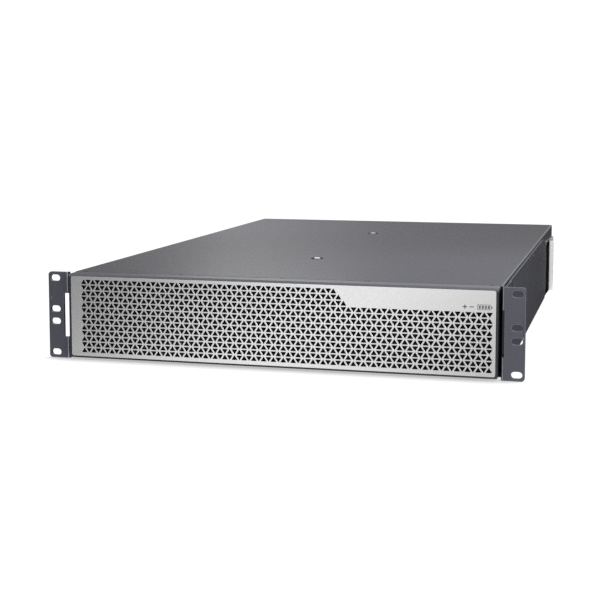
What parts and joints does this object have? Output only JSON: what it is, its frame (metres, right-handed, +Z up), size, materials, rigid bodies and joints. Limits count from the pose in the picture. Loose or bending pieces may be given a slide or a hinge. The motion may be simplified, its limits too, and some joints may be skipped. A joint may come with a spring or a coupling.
{
  "type": "server rack battery",
  "caption": "Two-unit rack battery: flat charcoal steel box, perforated silver bezel, slotted rack ears, DC connectors and fans at the rear.",
  "frame": {"origin": "middle of the underside of the whole object's box; the case rests on this plane", "axes": "+Z up, -Y out of the front (bezel), +X to the right of someone facing the front"},
  "size_m": [0.481, 0.712, 0.0881],
  "materials": {
    "charcoal_paint": "satin powder coat, charcoal",
    "black_steel": "satin black coat",
    "silver_plate": "fine satin silver",
    "bezel_plastic": "moulded, fine texture, charcoal",
    "black_plastic": "moulded, black",
    "filter_foam": "open-cell foam, black",
    "zinc_plate": "bright zinc plate",
    "screw_steel": "turned and plated",
    "copper": "bare copper, satin",
    "tinned_contact": "tin plated copper",
    "cell_wrap": "blue shrink wrap over aluminium cells",
    "circuit_board": "green solder mask",
    "cast_aluminium": "extruded, matt",
    "fish_paper": "pressed board, tan",
    "red_plastic": "moulded, red",
    "green_lens": "clear green light pipe",
    "button_plastic": "moulded, near black"
  },
  "bodies": {
    "case": {"bms_board": "circuit_board", "bms_carrier": "black_plastic", "bms_heat_sink": "cast_aluminium", "bracket_screw_left_lower": "screw_steel", "bracket_screw_left_upper": "screw_steel", "bracket_screw_right_lower": "screw_steel", "bracket_screw_right_upper": "screw_steel", "breaker_body": "black_plastic", "cell_block_front_left": "cell_wrap", "cell_block_front_right": "cell_wrap", "cell_block_rear_left": "cell_wrap", "cell_block_rear_right": "cell_wrap", "chassis_base": "black_steel", "comms_sockets": "black_plastic", "contactor": "black_plastic", "cover_screw_front": "screw_steel", "cover_screw_rear": "screw_steel", "cross_beam_front": "black_steel", "cross_beam_rear": "black_steel", "current_shunt": "copper", "dc_connector_in": "black_plastic", "dc_connector_out": "black_plastic", "dc_in_contact_negative": "tinned_contact", "dc_in_contact_positive": "tinned_contact", "dc_out_contact_negative": "tinned_contact", "dc_out_contact_positive": "tinned_contact", "ear_screw_left": "black_steel", "ear_screw_right": "black_steel", "earth_stud": "screw_steel", "fan_frame_left": "black_plastic", "fan_frame_right": "black_plastic", "finger_guard_left": "screw_steel", "finger_guard_right": "screw_steel", "foam_strip_left": "filter_foam", "foam_strip_right": "filter_foam", "inner_front_panel": "black_steel", "insulating_sheet": "fish_paper", "link_front": "copper", "link_left": "copper", "link_right": "copper", "main_bar_negative": "copper", "main_bar_positive": "copper", "main_fuse": "fish_paper", "rack_ear_left": "charcoal_paint", "rack_ear_right": "charcoal_paint", "rear_bracket_left": "zinc_plate", "rear_bracket_right": "zinc_plate", "rear_panel": "charcoal_paint", "sense_harness": "black_plastic", "start_button_switch": "black_plastic", "status_lens": "green_lens", "top_cover": "charcoal_paint"},
    "bezel": {"bezel_frame": "bezel_plastic", "bezel_grille": "silver_plate", "dust_filter": "filter_foam"},
    "breaker_toggle": {"breaker_toggle": "red_plastic"},
    "fan_rotor_left": {"fan_rotor_left": "black_plastic"},
    "fan_rotor_right": {"fan_rotor_right": "black_plastic"},
    "start_button": {"start_button": "button_plastic"}
  },
  "joints": [
    {"name": "bezel_pull", "type": "slide", "parent": "case", "child": "bezel", "axis": [0, -1, 0], "range_m": [0, 0.05]},
    {"name": "breaker_switch", "type": "hinge", "parent": "case", "child": "breaker_toggle", "pos_m": [0.16, 0.33, 0.0435], "axis": [1, 0, 0], "range_deg": [-48, 0]},
    {"name": "fan_left_spin", "type": "hinge", "parent": "case", "child": "fan_rotor_left", "pos_m": [-0.165, 0.3152, 0.0435], "axis": [0, 1, 0], "continuous": true},
    {"name": "fan_right_spin", "type": "hinge", "parent": "case", "child": "fan_rotor_right", "pos_m": [-0.095, 0.3152, 0.0435], "axis": [0, 1, 0], "continuous": true},
    {"name": "start_press", "type": "slide", "parent": "case", "child": "start_button", "axis": [0, -1, 0], "range_m": [0, 0.0025], "stiffness_N_per_m": 150}
  ]
}
